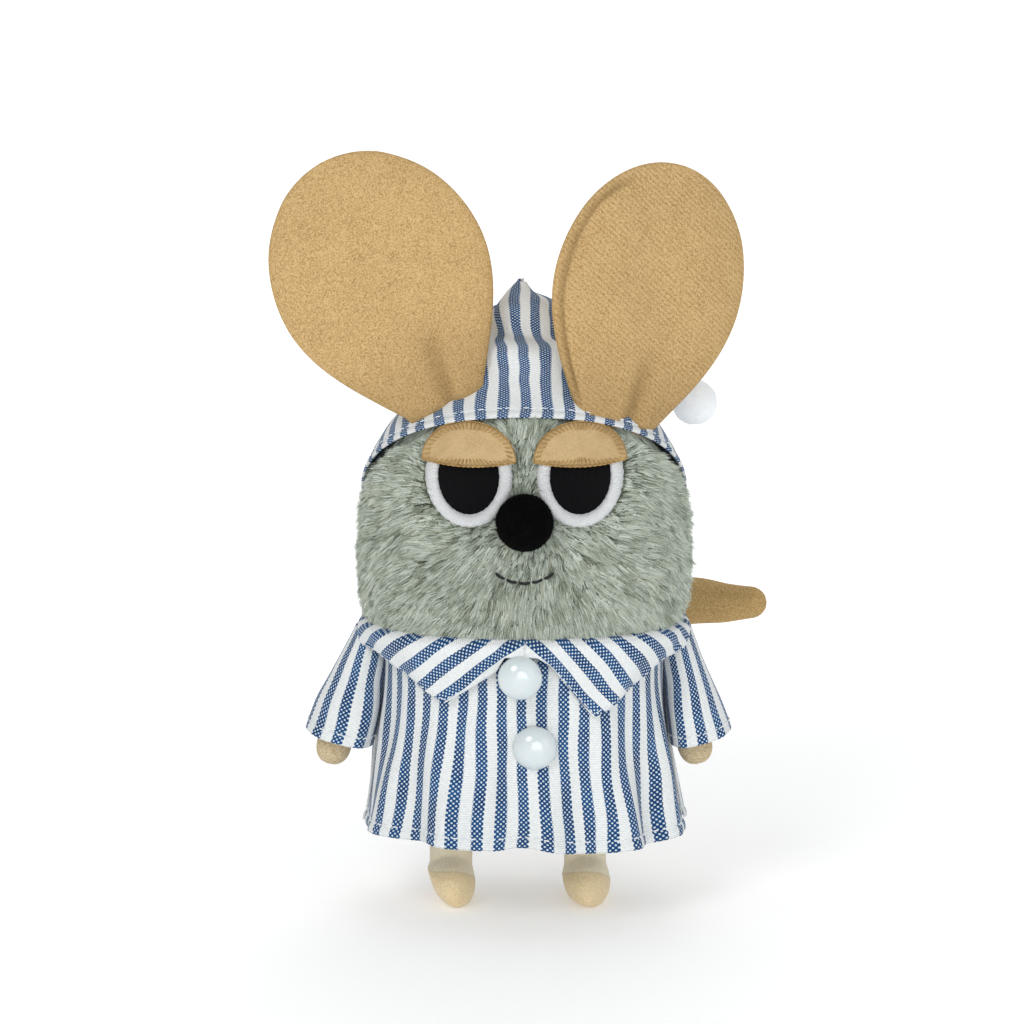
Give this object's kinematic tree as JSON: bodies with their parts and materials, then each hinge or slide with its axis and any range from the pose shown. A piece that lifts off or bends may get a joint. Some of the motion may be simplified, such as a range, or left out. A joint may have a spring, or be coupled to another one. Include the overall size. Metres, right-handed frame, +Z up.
{
  "type": "clockwork plush mouse",
  "caption": "Soft plush mouse in a striped nightshirt and pointed nightcap, with hinged ears, arms and tail, legs that twist, and a key-wound music movement in its back.",
  "frame": {"origin": "on the ground, under the middle of the bounding box", "axes": "+Z up from the soles to the ear tips, -Y out of the face, +X to the right of a viewer who looks at the face"},
  "size_m": [0.1408, 0.1052, 0.2123],
  "materials": {
    "grey_fur": "short grey-green acrylic fur",
    "tan_velour": "brushed tan velour",
    "sand_suede": "sand microfibre velour",
    "brown_suede": "brown microfibre suede",
    "striped_cotton": "plain-weave cotton, blue and white woven stripe",
    "tan_felt": "felt with a gold-brown stitched edge",
    "white_thread": "satin stitch",
    "black_thread": "satin stitch",
    "black_velvet": "flocked pile",
    "white_pile": "dense clipped pile",
    "stuffing": "cotton cover over polyester fibre",
    "button_plastic": "polished",
    "case_plastic": "moulded",
    "eyelet_brass": "pressed",
    "brass": "turned",
    "steel": "ground",
    "nickel": "nickel plate"
  },
  "bodies": {
    "body": {"torso": "stuffing", "back_pad": "stuffing", "shirt_front": "striped_cotton", "shirt_back": "striped_cotton", "collar": "striped_cotton", "top_button": "button_plastic", "lower_button": "button_plastic", "key_eyelet": "eyelet_brass", "movement_case": "case_plastic", "movement_cover": "case_plastic", "bedplate": "brass", "back_plate": "brass", "music_comb": "steel", "comb_screw_1": "steel", "comb_screw_2": "steel", "click_spring": "steel"},
    "head": {"head": "grey_fur", "left_eye_white": "white_thread", "right_eye_white": "white_thread", "left_pupil": "black_thread", "right_pupil": "black_thread", "left_eyelid": "tan_felt", "right_eyelid": "tan_felt", "nose": "black_velvet", "mouth_stitch": "black_thread", "nightcap": "striped_cotton"},
    "left_ear": {"left_ear": "tan_velour"},
    "right_ear": {"right_ear": "tan_velour"},
    "cap_point": {"nightcap_tip": "striped_cotton", "pompom": "white_pile"},
    "left_arm": {"left_arm": "sand_suede", "left_sleeve": "striped_cotton"},
    "right_arm": {"right_arm": "sand_suede", "right_sleeve": "striped_cotton"},
    "left_leg": {"left_leg": "sand_suede"},
    "right_leg": {"right_leg": "sand_suede"},
    "tail": {"tail": "brown_suede"},
    "winding": {"winding_key": "nickel", "winding_arbor": "steel", "ratchet_wheel": "steel"},
    "barrel": {"spring_barrel": "brass", "mainspring": "steel"},
    "cylinder": {"cylinder_arbor": "steel", "pin_cylinder": "brass"},
    "governor": {"governor_fan": "brass"}
  },
  "joints": [
    {"name": "head_turn", "type": "hinge", "parent": "body", "child": "head", "pos_m": [-0.00084, -0.00471, 0.084], "axis": [0, 0, 1], "range_deg": [-25, 25], "stiffness_Nm_per_rad": 0.1},
    {"name": "left_ear_fold", "type": "hinge", "parent": "head", "child": "left_ear", "pos_m": [-0.02254, -0.02071, 0.1456], "axis": [0.8888, -0.03, 0.4572], "range_deg": [-12, 30], "stiffness_Nm_per_rad": 0.1},
    {"name": "right_ear_fold", "type": "hinge", "parent": "head", "child": "right_ear", "pos_m": [0.02396, -0.01971, 0.139], "axis": [0.8403, 0.4798, -0.2523], "range_deg": [-12, 30], "stiffness_Nm_per_rad": 0.1},
    {"name": "cap_point_swing", "type": "hinge", "parent": "head", "child": "cap_point", "pos_m": [0.00016, 0.00989, 0.1655], "axis": [0, 0, 1], "range_deg": [-15, 20], "stiffness_Nm_per_rad": 0.02},
    {"name": "left_arm_swing", "type": "hinge", "parent": "body", "child": "left_arm", "pos_m": [-0.04604, -0.00771, 0.068], "axis": [1, 0, 0], "range_deg": [-50, 30], "stiffness_Nm_per_rad": 0.02},
    {"name": "right_arm_swing", "type": "hinge", "parent": "body", "child": "right_arm", "pos_m": [0.04436, -0.00771, 0.068], "axis": [1, 0, 0], "range_deg": [-50, 30], "stiffness_Nm_per_rad": 0.02},
    {"name": "left_leg_twist", "type": "hinge", "parent": "body", "child": "left_leg", "pos_m": [-0.02134, -0.00471, 0.033], "axis": [0, 0, 1], "range_deg": [-20, 20], "stiffness_Nm_per_rad": 0.02},
    {"name": "right_leg_twist", "type": "hinge", "parent": "body", "child": "right_leg", "pos_m": [0.01666, -0.00471, 0.033], "axis": [0, 0, 1], "range_deg": [-20, 20], "stiffness_Nm_per_rad": 0.02},
    {"name": "tail_wag", "type": "hinge", "parent": "body", "child": "tail", "pos_m": [0.00616, 0.02229, 0.042], "axis": [0, 0, 1], "range_deg": [-20, 10], "stiffness_Nm_per_rad": 0.05},
    {"name": "key_wind", "type": "hinge", "parent": "body", "child": "winding", "pos_m": [-0.00984, -0.01271, 0.06], "axis": [0, 1, 0], "continuous": true},
    {"name": "barrel_turn", "type": "hinge", "parent": "body", "child": "barrel", "pos_m": [-0.00984, -0.01271, 0.06], "axis": [0, 1, 0], "continuous": true},
    {"name": "cylinder_turn", "type": "hinge", "parent": "body", "child": "cylinder", "pos_m": [0.00378, -0.01271, 0.06], "axis": [0, 1, 0], "continuous": true},
    {"name": "governor_spin", "type": "hinge", "parent": "body", "child": "governor", "pos_m": [0.01002, -0.01271, 0.05255], "axis": [0, 1, 0], "continuous": true}
  ],
  "couplings": [
    {"joint": "cylinder_turn", "follows": "barrel_turn", "ratio": -4.4},
    {"joint": "governor_spin", "follows": "barrel_turn", "ratio": 22}
  ]
}
